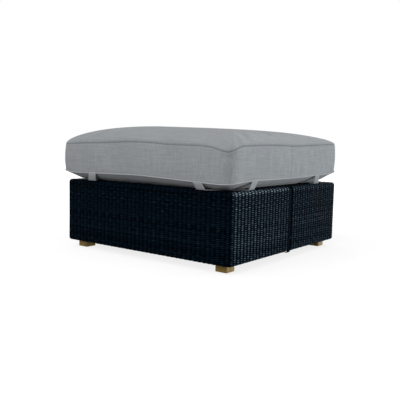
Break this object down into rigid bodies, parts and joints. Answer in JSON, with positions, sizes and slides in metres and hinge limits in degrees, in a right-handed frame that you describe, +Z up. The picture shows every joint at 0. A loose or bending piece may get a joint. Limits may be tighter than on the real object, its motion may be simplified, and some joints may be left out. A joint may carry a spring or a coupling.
{
  "type": "outdoor ottoman footstool",
  "caption": "Square woven resin footstool base over a tube frame, with wooden block feet and a thick boxed cushion that lifts off; corner straps lie under its corners.",
  "frame": {"origin": "middle of the footprint, on the floor under the feet", "axes": "+Z up; -Y is the plain front, +X and -X are the two sides with the wrapped seam"},
  "size_m": [0.82, 0.82, 0.4953],
  "materials": {
    "wicker": "woven flat resin strand, blue-black, satin",
    "frame": "powder coat, charcoal, fine texture",
    "foot_wood": "oiled light hardwood, straight grain",
    "bolt": "bright zinc plate",
    "glide": "moulded nylon, matt",
    "cushion_fabric": "light grey outdoor weave, slubbed, matt"
  },
  "bodies": {
    "base": {"wicker_run_front": "wicker", "wicker_run_rear": "wicker", "seam_wrap_left": "wicker", "seam_wrap_right": "wicker", "woven_deck": "wicker", "rail_top_front": "frame", "rail_top_rear": "frame", "rail_top_left": "frame", "rail_top_right": "frame", "rail_bottom_front": "frame", "rail_bottom_rear": "frame", "rail_bottom_left": "frame", "rail_bottom_right": "frame", "corner_post_front_left": "frame", "corner_post_front_right": "frame", "corner_post_rear_left": "frame", "corner_post_rear_right": "frame", "mid_upright_left": "frame", "mid_upright_right": "frame", "deck_bar_1": "frame", "deck_bar_2": "frame", "deck_bar_3": "frame", "foot_plate_front_left": "frame", "foot_plate_front_right": "frame", "foot_plate_rear_left": "frame", "foot_plate_rear_right": "frame", "block_foot_front_left": "foot_wood", "block_foot_front_right": "foot_wood", "block_foot_rear_left": "foot_wood", "block_foot_rear_right": "foot_wood", "foot_bolt_front_left": "bolt", "foot_bolt_front_right": "bolt", "foot_bolt_rear_left": "bolt", "foot_bolt_rear_right": "bolt", "foot_glide_front_left": "glide", "foot_glide_front_right": "glide", "foot_glide_rear_left": "glide", "foot_glide_rear_right": "glide"},
    "cushion": {"seat_cushion": "cushion_fabric", "corner_strap_front_left": "cushion_fabric", "corner_strap_front_right": "cushion_fabric", "corner_strap_rear_left": "cushion_fabric", "corner_strap_rear_right": "cushion_fabric"}
  },
  "joints": [
    {"name": "cushion_lift", "type": "slide", "parent": "base", "child": "cushion", "axis": [0, 0, 1], "range_m": [0, 0.3]}
  ]
}
